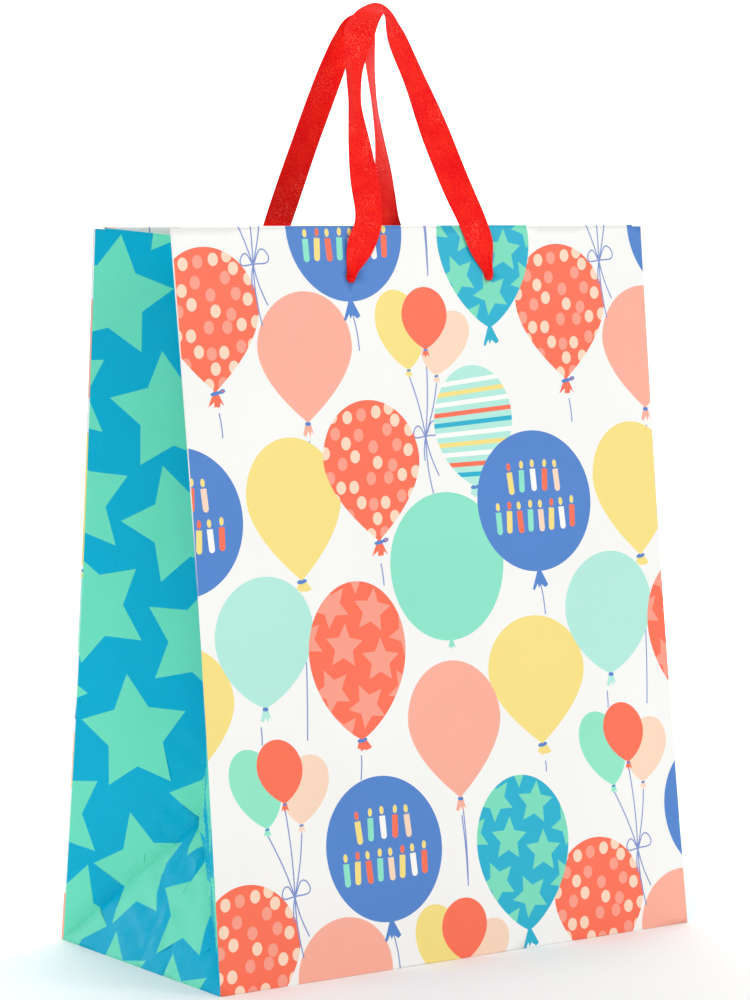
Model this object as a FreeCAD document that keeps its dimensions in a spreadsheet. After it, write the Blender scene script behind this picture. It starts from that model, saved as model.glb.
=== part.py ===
import FreeCAD, Part
import math
import os
import Sketcher

# Paper gift bag with two ribbon handles, in millimetres.
# X runs along the bag's width, -Y is its front, +Z is up and z = 0 is what it stands on.
# The front and back lean in towards each other and the two gussets fold inwards between them.
# Each flat piece is drawn in its wall's own frame: X across, Y up the sheet, Z through it.

doc = FreeCAD.newDocument("gift_bag")

# ---------------------------------------------------------------- driving sizes

SIZES = {
    # the folded sheet
    "bag_width": 260.0,
    "bag_depth": 140.0,
    "panel_length": 330.0,
    "mouth_depth": 67.0,
    "paper": 0.4,
    "sheet_gap": 0.1,
    "gusset_skin": 0.8,
    "gusset_steps": 4,
    # turned-in rim and its stiffening cards
    "hem_depth": 38.0,
    "hem_inset": 6.0,
    "gusset_hem_gap": 0.5,
    "card_width": 230.0,
    "card_height": 30.0,
    "card_thickness": 0.8,
    # glue flap and the folded bottom
    "seam_width": 18.0,
    "bottom_overlap": 50.0,
    "tuck_depth": 50.0,
    "board_thickness": 1.5,
    "board_clearance": 1.5,
    # ribbon handles
    "hole_spacing": 76.0,
    "hole_drop": 22.0,
    "hole_diameter": 5.0,
    "ribbon_width": 14.0,
    "ribbon_thickness": 0.8,
    "ribbon_gap": 0.5,
    "gathered_width": 4.5,
    "gather_length": 28.0,
    # knots inside the bag
    "neck_diameter": 4.2,
    "knot_width": 11.0,
    "knot_height": 8.0,
    "knot_thickness": 7.0,
    "tail_width": 9.0,
    "tail_length": 20.0,
    "tail_thickness": 1.2,
}

sheet = doc.addObject("Spreadsheet::Sheet", "Sizes")
for row, (alias, value) in enumerate(SIZES.items(), start=1):
    sheet.set("A%d" % row, alias)
    sheet.set("B%d" % row, str(value))
    sheet.setAlias("B%d" % row, alias)
doc.recompute()


def size(alias):
    """A size as the sheet holds it."""
    return float(getattr(sheet, alias))


# ---------------------------------------------------------------- frames of the walls

# How far a wall's top edge stands in from its bottom edge, and the angle that makes.
LEAN = "asin((Sizes.bag_depth - Sizes.mouth_depth) / 2 / Sizes.panel_length)"
lean = math.asin((size("bag_depth") - size("mouth_depth")) / 2 / size("panel_length"))
bag_height = size("panel_length") * math.cos(lean)

FRONT = -1
BACK = 1
LEFT = -1
RIGHT = 1


def wall_frame(obj, wall):
    """Stand a piece drawn in a wall's frame on that wall's bottom fold.

    The frame's Z points out of the bag at the front and into it at the back.
    """
    turn = "-" if wall == FRONT else "+"
    obj.Placement = FreeCAD.Placement(FreeCAD.Vector(0, 0, 0), FreeCAD.Rotation(FreeCAD.Vector(1, 0, 0), 90))
    obj.setExpression("Placement.Rotation.Angle", "90 deg %s %s" % (turn, LEAN))
    obj.setExpression("Placement.Base.y", "%d * Sizes.bag_depth / 2" % wall)
    obj.setExpression("Placement.Base.z", "Sizes.paper * sin(%s)" % LEAN)


def wall_point(across, up, inward, wall):
    """World place of a point given across, up and inward from a wall's outer face."""
    along = size("bag_depth") / 2 - up * math.sin(lean) - inward * math.cos(lean)
    rise = size("paper") * math.sin(lean) + up * math.cos(lean) - inward * math.sin(lean)
    return FreeCAD.Vector(across, wall * along, rise)


# ---------------------------------------------------------------- flat pieces


def origin_plane(body, role):
    """The body's own origin plane with that role."""
    return next(item for item in body.Origin.OriginFeatures if item.Role == role)


def new_sketch(body, name, level):
    """A sketch on the body's own XY plane, lifted to a level given as an expression."""
    sketch = body.newObject("Sketcher::SketchObject", name)
    sketch.AttachmentSupport = [(origin_plane(body, "XY_Plane"), "")]
    sketch.MapMode = "FlatFace"
    sketch.setExpression("AttachmentOffset.Base.z", level)
    return sketch


def pin_point(sketch, geometry, end, name, across, along):
    """Fix one point of a sketch at two expressions measured from the sketch's origin."""
    across_id = sketch.addConstraint(Sketcher.Constraint("DistanceX", -1, 1, geometry, end, 1.0))
    sketch.renameConstraint(across_id, name + "_across")
    sketch.setExpression("Constraints.%s_across" % name, across)
    along_id = sketch.addConstraint(Sketcher.Constraint("DistanceY", -1, 1, geometry, end, 1.0))
    sketch.renameConstraint(along_id, name + "_along")
    sketch.setExpression("Constraints.%s_along" % name, along)


def value_of(expression):
    """What an expression comes to now, used to draw a sketch near its final shape."""
    return float(sheet.evalExpression(expression))


def flat_piece(name, corners, thickness, level, wall=BACK, holes=False):
    """A flat sheet: its outline's corners as expressions, padded inward from a level.

    level is how far the piece's outer face lies inside its wall's outer face.
    """
    body = doc.addObject("PartDesign::Body", name)
    sign = "-1" if wall == FRONT else "1"
    outline = new_sketch(body, name + "_outline", "%s * (%s)" % (sign, level))
    points = [FreeCAD.Vector(value_of(x), value_of(y), 0) for x, y in corners]
    count = len(points)
    for index in range(count):
        outline.addGeometry(Part.LineSegment(points[index], points[(index + 1) % count]), False)
    for index in range(count):
        outline.addConstraint(Sketcher.Constraint("Coincident", index, 2, (index + 1) % count, 1))
    for index, (across, along) in enumerate(corners):
        pin_point(outline, index, 1, "corner%d" % index, across, along)
    pad = body.newObject("PartDesign::Pad", name + "_sheet")
    pad.Profile = outline
    pad.Reversed = wall == FRONT
    pad.setExpression("Length", thickness)
    body.Tip = pad
    doc.recompute()
    if holes:
        punch_holes(body, name, wall, level, thickness)
    return body


def punch_holes(body, name, wall, level, thickness):
    """The two ribbon holes, cut right through a piece in its wall's frame."""
    solid_volume = body.Shape.Volume
    sign = "-1" if wall == FRONT else "1"
    punch = new_sketch(body, name + "_punch", "%s * (%s)" % (sign, level))
    for index, side in enumerate((LEFT, RIGHT)):
        across = "%d * Sizes.hole_spacing / 2" % side
        along = "Sizes.panel_length - Sizes.hole_drop"
        centre = FreeCAD.Vector(value_of(across), value_of(along), 0)
        radius = size("hole_diameter") / 2
        punch.addGeometry(Part.Circle(centre, FreeCAD.Vector(0, 0, 1), radius), False)
        pin_point(punch, index, 3, "hole%d" % index, across, along)
        bore_id = punch.addConstraint(Sketcher.Constraint("Radius", index, radius))
        punch.renameConstraint(bore_id, "bore%d" % index)
        punch.setExpression("Constraints.bore%d" % index, "Sizes.hole_diameter / 2")
    pocket = body.newObject("PartDesign::Pocket", name + "_holes")
    pocket.Profile = punch
    pocket.Reversed = wall == BACK
    pocket.setExpression("Length", thickness)
    body.Tip = pocket
    doc.recompute()
    cut = solid_volume - body.Shape.Volume
    wanted = 2 * math.pi * (size("hole_diameter") / 2) ** 2 * value_of(thickness)
    if abs(cut - wanted) > 0.02 * wanted:
        raise ValueError("%s: the holes took %.2f mm3, not %.2f" % (name, cut, wanted))


def rectangle(half_across, low, high):
    """Corners of a rectangle centred across its wall."""
    return [
        ("-(%s)" % half_across, low),
        (half_across, low),
        (half_across, high),
        ("-(%s)" % half_across, high),
    ]


PAPER = "Sizes.paper"
CARD_LEVEL = "Sizes.paper + Sizes.sheet_gap"
HEM_LEVEL = "Sizes.paper + 2 * Sizes.sheet_gap + Sizes.card_thickness"
HEM_LOW = "Sizes.panel_length - Sizes.hem_depth"
FOLD_GAP = "4 * Sizes.sheet_gap"
wall_pieces = []

for wall, word in ((FRONT, "front"), (BACK, "back")):
    panel = flat_piece(
        word + "_panel",
        rectangle("Sizes.bag_width / 2", "0", "Sizes.panel_length"),
        PAPER,
        "0",
        wall,
        holes=True,
    )
    card = flat_piece(
        word + "_top_card",
        rectangle(
            "Sizes.card_width / 2",
            "Sizes.panel_length - Sizes.card_height - Sizes.sheet_gap",
            "Sizes.panel_length - Sizes.sheet_gap",
        ),
        "Sizes.card_thickness",
        CARD_LEVEL,
        wall,
        holes=True,
    )
    hem = flat_piece(
        word + "_hem",
        rectangle("Sizes.bag_width / 2 - Sizes.hem_inset", HEM_LOW, "Sizes.panel_length"),
        PAPER,
        HEM_LEVEL,
        wall,
        holes=True,
    )
    wall_pieces += [(panel, wall), (card, wall), (hem, wall)]

# The glue flap lies inside the back wall, along its right-hand fold and below the hem.
SEAM_RIGHT = "Sizes.bag_width / 2 - Sizes.board_clearance - Sizes.gusset_skin"
seam = flat_piece(
    "side_seam_flap",
    [
        ("%s - Sizes.seam_width" % SEAM_RIGHT, "Sizes.seam_width / 2"),
        (SEAM_RIGHT, "Sizes.seam_width / 2"),
        (SEAM_RIGHT, "%s - 5 * Sizes.sheet_gap" % HEM_LOW),
        ("%s - Sizes.seam_width" % SEAM_RIGHT, "%s - 5 * Sizes.sheet_gap" % HEM_LOW),
    ],
    PAPER,
    CARD_LEVEL,
    BACK,
)
wall_pieces.append((seam, BACK))
for piece, wall in wall_pieces:
    wall_frame(piece, wall)

# ---------------------------------------------------------------- folded bottom

# From the floor up: front flap, back flap over it, the two tucked ends, then the loose board.
INNER_HALF_WIDTH = "Sizes.bag_width / 2 - Sizes.board_clearance - Sizes.gusset_skin"
INNER_HALF_DEPTH = "Sizes.bag_depth / 2 - Sizes.paper - %s" % FOLD_GAP
LAYER = "(Sizes.paper + Sizes.sheet_gap)"


def bottom_piece(name, corners, thickness, layer):
    """A flat piece of the bottom, that many paper layers above the floor."""
    return flat_piece(name, corners, thickness, "%d * %s" % (layer, LAYER))


bottom_piece(
    "front_bottom_flap",
    rectangle(INNER_HALF_WIDTH, "-(%s)" % INNER_HALF_DEPTH, "Sizes.bottom_overlap / 2"),
    PAPER,
    0,
)
bottom_piece(
    "back_bottom_flap",
    rectangle(INNER_HALF_WIDTH, "-Sizes.bottom_overlap / 2", INNER_HALF_DEPTH),
    PAPER,
    1,
)
for side, word in ((LEFT, "left"), (RIGHT, "right")):
    outer = "%d * (%s)" % (side, INNER_HALF_WIDTH)
    inner = "%d * (%s - Sizes.tuck_depth)" % (side, INNER_HALF_WIDTH)
    tuck_half = "(%s - Sizes.tuck_depth)" % INNER_HALF_DEPTH
    bottom_piece(
        word + "_tuck_flap",
        [
            (outer, "-(%s)" % INNER_HALF_DEPTH),
            (outer, INNER_HALF_DEPTH),
            (inner, tuck_half),
            (inner, "-%s" % tuck_half),
        ],
        PAPER,
        2,
    )
BOARD_HALF_WIDTH = "%s - Sizes.board_clearance" % INNER_HALF_WIDTH
BOARD_HALF_DEPTH = "%s - Sizes.board_clearance / 2" % INNER_HALF_DEPTH
bottom_piece(
    "base_board",
    rectangle(BOARD_HALF_WIDTH, "-(%s)" % BOARD_HALF_DEPTH, BOARD_HALF_DEPTH),
    "Sizes.board_thickness",
    3,
)

# ---------------------------------------------------------------- folded and twisted pieces


def ring_solid(rings, apex=(), ends=None):
    """A closed solid through rings of points: flat triangles between rings, flat faces at each end.

    The crease across each side face runs to the corners whose numbers are in apex.
    ends lists the corners of each flat face at the ends, where one face can't close them.
    """
    faces = []
    count = len(rings[0])
    for low, high in zip(rings, rings[1:]):
        for near in range(count):
            far = (near + 1) % count
            if near in apex:
                triangles = [(low[near], low[far], high[near]), (low[far], high[far], high[near])]
            else:
                triangles = [(low[near], low[far], high[far]), (low[near], high[far], high[near])]
            for triangle in triangles:
                faces.append(Part.Face(Part.makePolygon(list(triangle) + [triangle[0]])))
    for ring in (rings[0], rings[-1]):
        for corners in ends or (range(count),):
            outline = [ring[corner] for corner in corners]
            faces.append(Part.Face(Part.makePolygon(outline + outline[:1])))
    solid = Part.Solid(Part.Shell(faces))
    if solid.Volume < 0:
        solid.reverse()
    return solid


def shape_piece(name, shape):
    """A document object for a piece that is shaped by Part's own functions."""
    piece = doc.addObject("Part::Feature", name)
    piece.Shape = shape
    piece.Placement = FreeCAD.Placement()
    return piece


def side_fold(up):
    """Half depth and height of the fold between a gusset and a panel, that far up the sheet."""
    return size("bag_depth") / 2 - up * math.sin(lean), up * math.cos(lean)


def crease_path(top):
    """A gusset's middle crease, as a function of the distance up the sheet, up to top.

    It starts where the two diagonal folds of the bottom corners meet, half the bag's depth up the
    sheet. From there each half of the gusset keeps its width and the crease keeps its length, so
    the paper bends without stretching. Gives (inward from the side, height) at a distance up.
    """
    half_width = size("bag_depth") / 2
    half, rise = side_fold(half_width)
    height = (rise**2 + half**2) / (2 * rise)
    inward = math.sqrt(half_width**2 - height**2)
    path = [(half_width, inward, height)]
    count = int(top - half_width) + 1
    step = (top - half_width) / count
    for index in range(count):
        up = half_width + step * index
        half, rise = side_fold(up)
        drop = height - rise
        reach = math.hypot(inward, drop)
        wanted = half * math.sin(lean) + drop * math.cos(lean)
        slope = math.asin(wanted / reach) - math.atan2(drop, inward)
        inward += step * math.sin(slope)
        height += step * math.cos(slope)
        path.append((up + step, inward, height))

    def place(up):
        before = [point for point in path if point[0] <= up + 1e-6][-1]
        after = [point for point in path if point[0] >= up - 1e-6][0]
        span = after[0] - before[0]
        part = (up - before[0]) / span if span > 1e-9 else 0.0
        return tuple(near + part * (far - near) for near, far in zip(before[1:], after[1:]))

    return place


def chevron(up, crease, side, edge_inset, shift, skin):
    """One level of a gusset: outer edge, crease, edge, then back along its inside.

    edge_inset is how far its edges stop short of the side folds, along the straight line
    from fold to crease. shift moves the whole level into the bag.
    """
    half, rise = side_fold(up)
    inward, height = crease
    short = edge_inset / half
    near = inward * short + shift
    edge_x = side * (size("bag_width") / 2 - near)
    crease_x = side * (size("bag_width") / 2 - inward - shift)
    edge_y = half - edge_inset
    edge_z = rise + (height - rise) * short
    through = FreeCAD.Vector(-side * skin, 0, 0)
    outer = [
        FreeCAD.Vector(edge_x, -edge_y, edge_z),
        FreeCAD.Vector(crease_x, 0, height),
        FreeCAD.Vector(edge_x, edge_y, edge_z),
    ]
    return outer + [point + through for point in reversed(outer)]


CREASE_CORNERS = (1, 4)
CHEVRON_ENDS = ((0, 1, 4, 5), (1, 2, 3, 4))
edge_inset = (size("paper") + size("sheet_gap")) / math.cos(lean)
hem_stack = 2 * size("paper") + 3 * size("sheet_gap") + size("card_thickness")
hem_edge = hem_stack + size("sheet_gap") * 2

panel_length = size("panel_length")
corner_up = size("bag_depth") / 2
hem_low = panel_length - size("hem_depth")
steps = int(size("gusset_steps"))
ups = [corner_up + (hem_low - corner_up) * step / steps for step in range(steps + 1)]
hem_ups = [hem_low, (hem_low + panel_length) / 2, panel_length]
crease_at = crease_path(panel_length)
skin = size("gusset_skin")

for side, word in ((LEFT, "left"), (RIGHT, "right")):
    # The gusset is flat along the bottom fold, and its middle crease starts at the corner folds.
    rings = [chevron(0.0, (0.0, 0.0), side, edge_inset, 0.0, skin)]
    rings += [chevron(up, crease_at(up), side, edge_inset, 0.0, skin) for up in ups + hem_ups[1:]]
    shape_piece(word + "_gusset", ring_solid(rings, CREASE_CORNERS, CHEVRON_ENDS))
    # Its rim is turned in behind it and stops clear of the panels' own turned-in rims.
    inside = skin + size("gusset_hem_gap")
    rings = [chevron(up, crease_at(up), side, hem_edge, inside, skin) for up in hem_ups]
    shape_piece(word + "_hem", ring_solid(rings, CREASE_CORNERS, CHEVRON_ENDS))

# ---------------------------------------------------------------- ribbon handles

# Route of each ribbon's middle line, from its left hole over the top to its right hole:
# across the bag, up from the holes, in from the wall and the ribbon's turn about its own line.
# A turn of 0 lies flat with the wall, 90 stands square to it, as where the ribbon bends over.
FRONT_ROUTE = [
    (-38.0, 0.0, 0.0, 0),
    (-34.5, 11.0, 0.0, 0),
    (-26.4, 24.0, -0.3, 0),
    (-27.0, 42.0, 1.6, 15),
    (-27.4, 60.0, 3.3, 35),
    (-27.6, 78.0, 4.8, 80),
    (-26.0, 94.0, 6.1, 90),
    (-22.5, 105.0, 7.3, 90),
    (-17.5, 114.0, 8.3, 90),
    (-10.5, 121.0, 8.4, 90),
    (-3.6, 120.0, 8.0, 85),
    (-0.8, 107.5, 7.0, 60),
    (7.5, 87.0, 5.3, 20),
    (15.4, 63.0, 3.1, 8),
    (23.6, 40.0, 1.4, 3),
    (30.3, 24.0, -0.3, 0),
    (35.0, 11.0, 0.0, 0),
    (38.0, 0.0, 0.0, 0),
]
BACK_ROUTE = [
    (-38.0, 0.0, 0.0, 0),
    (-35.8, 11.0, 0.0, 0),
    (-31.4, 24.0, -0.3, 0),
    (-26.6, 45.0, 3.1, 5),
    (-21.0, 68.0, 6.9, 12),
    (-14.2, 91.0, 9.6, 30),
    (-9.8, 105.0, 11.5, 60),
    (-7.0, 115.2, 13.2, 85),
    (-0.8, 117.8, 14.2, 90),
    (3.0, 111.5, 13.9, 90),
    (5.6, 104.5, 12.8, 90),
    (8.2, 97.0, 10.8, 90),
    (13.4, 80.0, 8.4, 80),
    (20.8, 60.0, 5.7, 40),
    (26.2, 42.0, 2.7, 15),
    (30.2, 24.0, -0.3, 0),
    (35.5, 11.0, 0.0, 0),
    (38.0, 0.0, 0.0, 0),
]
ROUTE_SPACING = 76.0
RUN_SHARE = 0.45
STATIONS_PER_PIECE = 5


def route_points(route, wall):
    """The route in the bag's frame: it starts and ends on the holes and stands off the wall."""
    stretch = size("hole_spacing") / ROUTE_SPACING
    stand_off = size("ribbon_gap") + size("ribbon_thickness") / 2
    hole_up = size("panel_length") - size("hole_drop")
    start = wall_point(0, hole_up, -stand_off, wall)
    points = []
    for across, up, inward, _turn in route:
        # Below the rim the ribbon lies along the wall, and above it the ribbon leans further in.
        along = up * math.sin(lean) + inward
        points.append(
            FreeCAD.Vector(across * stretch, start.y - wall * along, start.z + up * math.cos(lean))
        )
    return points


def rounded_line(points, name):
    """Straight runs joined by tangent arcs, as one wire. Prints the arcs' radii."""
    edges = []
    radii = []
    start = points[0]
    for before, corner, after in zip(points, points[1:], points[2:]):
        back = before - corner
        ahead = after - corner
        shorter = min(back.Length, ahead.Length)
        turn = math.pi - back.getAngle(ahead)
        reach = RUN_SHARE * shorter
        radii.append(reach / math.tan(turn / 2))
        enter = corner + back.normalize() * reach
        leave = corner + ahead.normalize() * reach
        bisector = (enter + leave) * 0.5 - corner
        sagitta_from_corner = radii[-1] / math.cos(turn / 2) - radii[-1]
        middle = corner + bisector.normalize() * sagitta_from_corner
        edges.append(Part.LineSegment(start, enter).toShape())
        edges.append(Part.Arc(enter, middle, leave).toShape())
        start = leave
    edges.append(Part.LineSegment(start, points[-1]).toShape())
    print("%s arc radii, mm: %s" % (name, " ".join("%.0f" % radius for radius in radii)))
    return Part.Wire(edges)


def turn_along(route, points, share):
    """The ribbon's turn in degrees at a share of the route's length, eased from point to point."""
    lengths = [0.0]
    for near, far in zip(points, points[1:]):
        lengths.append(lengths[-1] + (far - near).Length)
    place = share * lengths[-1]
    for index in range(1, len(lengths)):
        if place <= lengths[index] + 1e-9:
            part = (place - lengths[index - 1]) / (lengths[index] - lengths[index - 1])
            return route[index - 1][3] + part * (route[index][3] - route[index - 1][3])
    return route[-1][3]


def ribbon_width(place, length):
    """Full width along the ribbon, gathered to fit the hole at each end."""
    from_end = min(place, length - place) / size("gather_length")
    spread = min(max(from_end, 0.0), 1.0)
    eased = spread * spread * (3 - 2 * spread)
    return size("gathered_width") + (size("ribbon_width") - size("gathered_width")) * eased


def ribbon(name, route, wall):
    """A flat ribbon carried along its route: flat sections joined by flat triangles."""
    points = route_points(route, wall)
    line = rounded_line(points, name)
    outward = wall_point(0, 0, -1, wall) - wall_point(0, 0, 0, wall)
    length = line.Length
    rings = []
    places = []
    passed = 0.0
    for edge in line.OrderedEdges:
        steps = STATIONS_PER_PIECE if edge.Curve.TypeId == "Part::GeomCircle" else 1
        places += [passed + edge.Length * step / steps for step in range(steps)]
        passed += edge.Length
    places.append(length)
    samples = []
    for edge in line.OrderedEdges:
        steps = STATIONS_PER_PIECE if edge.Curve.TypeId == "Part::GeomCircle" else 1
        for step in range(steps):
            parameter = edge.getParameterByLength(edge.Length * step / steps)
            samples.append((edge.valueAt(parameter), edge.tangentAt(parameter)))
    last = line.OrderedEdges[-1]
    samples.append((last.valueAt(last.LastParameter), last.tangentAt(last.LastParameter)))
    for place, (centre, tangent) in zip(places, samples):
        turn = math.radians(turn_along(route, points, place / length))
        flat = outward.cross(tangent).normalize()
        square = tangent.cross(flat).normalize()
        across = flat * math.cos(turn) + square * math.sin(turn)
        through = tangent.cross(across).normalize()
        half = across * (ribbon_width(place, length) / 2)
        skin = through * (size("ribbon_thickness") / 2)
        rings.append([centre - half - skin, centre + half - skin, centre + half + skin, centre - half + skin])
    solid = ring_solid(rings)
    print("%s centre line %.1f mm, volume %.1f mm3" % (name, length, solid.Volume))
    shape_piece(name, solid)


ribbon("front_handle_ribbon", FRONT_ROUTE, FRONT)
ribbon("back_handle_ribbon", BACK_ROUTE, BACK)

# ---------------------------------------------------------------- knots inside the bag

STACK = "(2 * Sizes.paper + 2 * Sizes.sheet_gap + Sizes.card_thickness)"
KNOT_CENTRE = "(%s + Sizes.sheet_gap + Sizes.knot_thickness / 2)" % STACK
HOLE_UP = "(Sizes.panel_length - Sizes.hole_drop)"


def knot(name, wall, side):
    """One tied ribbon end: the neck in the hole, the knot behind the hem and the hanging tail."""
    inward = "-1" if wall == FRONT else "1"
    across = "%d * Sizes.hole_spacing / 2" % side
    neck = doc.addObject("Part::Cylinder", name + "_neck")
    neck.setExpression("Radius", "Sizes.neck_diameter / 2")
    neck.setExpression("Height", KNOT_CENTRE)
    neck.setExpression("Placement.Base.x", across)
    neck.setExpression("Placement.Base.y", HOLE_UP)
    if wall == FRONT:
        neck.setExpression("Placement.Base.z", "-%s" % KNOT_CENTRE)
    ball = doc.addObject("Part::Ellipsoid", name + "_ball")
    ball.setExpression("Radius1", "Sizes.knot_thickness / 2")
    ball.setExpression("Radius2", "Sizes.knot_width / 2")
    ball.setExpression("Radius3", "Sizes.knot_height / 2")
    ball.setExpression("Placement.Base.x", across)
    ball.setExpression("Placement.Base.y", HOLE_UP)
    ball.setExpression("Placement.Base.z", "%s * %s" % (inward, KNOT_CENTRE))
    tail = doc.addObject("Part::Box", name + "_tail")
    tail.setExpression("Length", "Sizes.tail_width")
    tail.setExpression("Width", "Sizes.tail_length")
    tail.setExpression("Height", "Sizes.tail_thickness")
    tail.setExpression("Placement.Base.x", "%s - Sizes.tail_width / 2" % across)
    tail.setExpression("Placement.Base.y", "%s - Sizes.tail_length" % HOLE_UP)
    tail.setExpression("Placement.Base.z", "%s * %s - Sizes.tail_thickness / 2" % (inward, KNOT_CENTRE))
    tied = doc.addObject("Part::MultiFuse", name)
    tied.Shapes = [neck, ball, tail]
    wall_frame(tied, wall)


for wall, wall_word in ((FRONT, "front"), (BACK, "back")):
    for side, side_word in ((LEFT, "left"), (RIGHT, "right")):
        knot("%s_%s_knot" % (wall_word, side_word), wall, side)

# ---------------------------------------------------------------- check and export

NODES = (
    [word + kind for word in ("front", "back") for kind in ("_panel", "_top_card", "_hem", "_bottom_flap")]
    + [word + kind for word in ("left", "right") for kind in ("_gusset", "_hem", "_tuck_flap")]
    + [word + "_handle_ribbon" for word in ("front", "back")]
    + ["front_left_knot", "front_right_knot", "back_left_knot", "back_right_knot"]
    + ["side_seam_flap", "base_board"]
)

doc.recompute()
for item in doc.Objects:
    if "Invalid" in item.State or "Error" in item.State:
        raise ValueError("%s did not compute: %s" % (item.Name, item.State))
os.makedirs("parts", exist_ok=True)
for node in NODES:
    piece = doc.getObject(node)
    piece.Label = node
    if piece.Shape.isNull() or not piece.Shape.isValid():
        raise ValueError("%s has no valid shape" % node)
for node in NODES:
    doc.getObject(node).Shape.exportStep("parts/%s.step" % node)
print("crease at the rim: %.2f mm in, %.2f mm up" % crease_at(panel_length))
print("%d nodes, bag height %.2f mm, lean %.3f deg" % (len(NODES), bag_height, math.degrees(lean)))
hinge = wall_point(0, size("panel_length") - size("hole_drop"), -size("ribbon_gap") - size("ribbon_thickness") / 2, BACK)
print("handle hinge lines: y = +-%.3f, z = %.3f" % (hinge.y, hinge.z))
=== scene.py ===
import math

import bmesh
import bpy
import numpy as np
from mathutils import Matrix, Vector
from mathutils.geometry import delaunay_2d_cdt


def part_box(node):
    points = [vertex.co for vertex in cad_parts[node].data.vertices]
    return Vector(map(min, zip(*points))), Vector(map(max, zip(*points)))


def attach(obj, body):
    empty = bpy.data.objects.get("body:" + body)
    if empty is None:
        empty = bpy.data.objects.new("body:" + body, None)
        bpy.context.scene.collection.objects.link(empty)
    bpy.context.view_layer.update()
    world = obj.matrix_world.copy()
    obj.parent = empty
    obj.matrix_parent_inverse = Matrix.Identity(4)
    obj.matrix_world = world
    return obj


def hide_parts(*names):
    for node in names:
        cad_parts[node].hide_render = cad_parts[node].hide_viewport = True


# Looks of a paper gift bag with two ribbon handles. Lengths here are millimetres until a mesh is made.
# The printed sheet is drawn flat: x runs across a panel from its middle, and up runs along the sheet from
# the bottom fold. Each drawn shape is cut into the sheet's triangles, and then the sheet is folded.

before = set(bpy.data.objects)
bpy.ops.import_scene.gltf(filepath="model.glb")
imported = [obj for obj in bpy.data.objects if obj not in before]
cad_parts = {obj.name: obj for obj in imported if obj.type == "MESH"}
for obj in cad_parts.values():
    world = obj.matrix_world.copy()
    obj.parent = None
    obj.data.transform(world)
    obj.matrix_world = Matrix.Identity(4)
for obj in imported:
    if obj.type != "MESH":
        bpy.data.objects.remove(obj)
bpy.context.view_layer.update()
MM = 0.001

# ---------------------------------------------------------------- sizes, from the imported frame


def box_mm(node):
    """A node's lowest and highest corner, in millimetres."""
    low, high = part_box(node)
    return np.array(low) / MM, np.array(high) / MM


panel_low, panel_high = box_mm("front_panel")
flap_low, flap_high = box_mm("front_bottom_flap")
back_flap_low, back_flap_high = box_mm("back_bottom_flap")
hem_low, hem_high = box_mm("front_hem")
PAPER = flap_high[2] - flap_low[2]
HALF_WIDTH = panel_high[0]
HALF_DEPTH = -panel_low[1]
HALF_MOUTH = PAPER - panel_high[1]
LEAN = math.atan2(HALF_DEPTH - HALF_MOUTH, panel_high[2])
PANEL = panel_high[2] / math.cos(LEAN)
HEM = (panel_high[2] - hem_low[2]) / math.cos(LEAN)
RIM = (hem_high[1] + HALF_MOUTH) / math.cos(LEAN)
FOOT = PAPER * math.sin(LEAN)
HOLE_X = 38.0
HOLE_DROP = 22.0
HOLE_RADIUS = 2.5

# ---------------------------------------------------------------- camera

CAMERA_PLACE = (-0.8566, -1.2463, 0.3303)
CAMERA_YAW = math.radians(34.48)
CAMERA_PITCH = math.radians(-4.84)
CAMERA_ROLL = math.radians(-0.2)
SENSOR_HEIGHT = 24.0
LENS = 78.7


def add_camera():
    """A long lens left of the bag and a little above its middle, almost level."""
    forward = Vector((
        math.sin(CAMERA_YAW) * math.cos(CAMERA_PITCH),
        math.cos(CAMERA_YAW) * math.cos(CAMERA_PITCH),
        math.sin(CAMERA_PITCH),
    ))
    level = Vector((math.cos(CAMERA_YAW), -math.sin(CAMERA_YAW), 0.0))
    over = level.cross(forward)
    right = math.cos(CAMERA_ROLL) * level + math.sin(CAMERA_ROLL) * over
    data = bpy.data.cameras.new("camera")
    data.sensor_fit = "VERTICAL"
    data.sensor_height = SENSOR_HEIGHT
    data.lens = LENS
    data.clip_start = 0.05
    camera = bpy.data.objects.new("camera", data)
    turn = Matrix((right, right.cross(forward), -forward)).transposed()
    camera.matrix_world = Matrix.Translation(CAMERA_PLACE) @ turn.to_4x4()
    bpy.context.scene.collection.objects.link(camera)
    bpy.context.scene.camera = camera


add_camera()

# ---------------------------------------------------------------- ribbon routes

# Each handle's centre line: millimetres across, up the wall from the holes, and inwards beyond the wall's
# lean, then degrees that the ribbon's face is turned about the line.
FRONT_ROUTE = (
    (-38, 0, 0, 0), (-34.5, 11, 0, 0), (-26.4, 24, -0.3, -4), (-27, 42, 1.6, -8), (-27.4, 60, 3.3, 12),
    (-27.6, 78, 4.8, 32), (-26, 94, 6.1, 24), (-22.5, 105, 7.3, 0), (-17.5, 114, 8.3, -50),
    (-10.5, 121, 8.4, -70), (-3.6, 120, 8.0, -46), (-0.8, 107.5, 7.0, -14), (7.5, 87, 5.3, -8),
    (15.4, 63, 3.1, 14), (23.6, 40, 1.4, 18), (30.3, 24, -0.3, 8), (35, 11, 0, 0), (38, 0, 0, 0),
)
BACK_ROUTE = (
    (-38, 0, 0, 0), (-35.8, 11, 0, 0), (-31.4, 24, -0.3, -4), (-26.6, 45, 3.1, -6), (-21, 68, 6.9, -4),
    (-14.2, 91, 9.6, 0), (-9.8, 105, 11.5, 6), (-7, 115.2, 13.2, 24), (-0.8, 117.8, 14.2, 60),
    (3, 111.5, 13.9, 90), (5.6, 104.5, 12.8, 104), (8.2, 97, 10.8, 110), (13.4, 80, 8.4, 114),
    (20.8, 60, 5.7, 105), (26.2, 42, 2.7, 86), (30.2, 24, -0.3, 62), (35.5, 11, 0, 10), (38, 0, 0, 0),
)
RIBBON_OUT = 0.9


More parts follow.
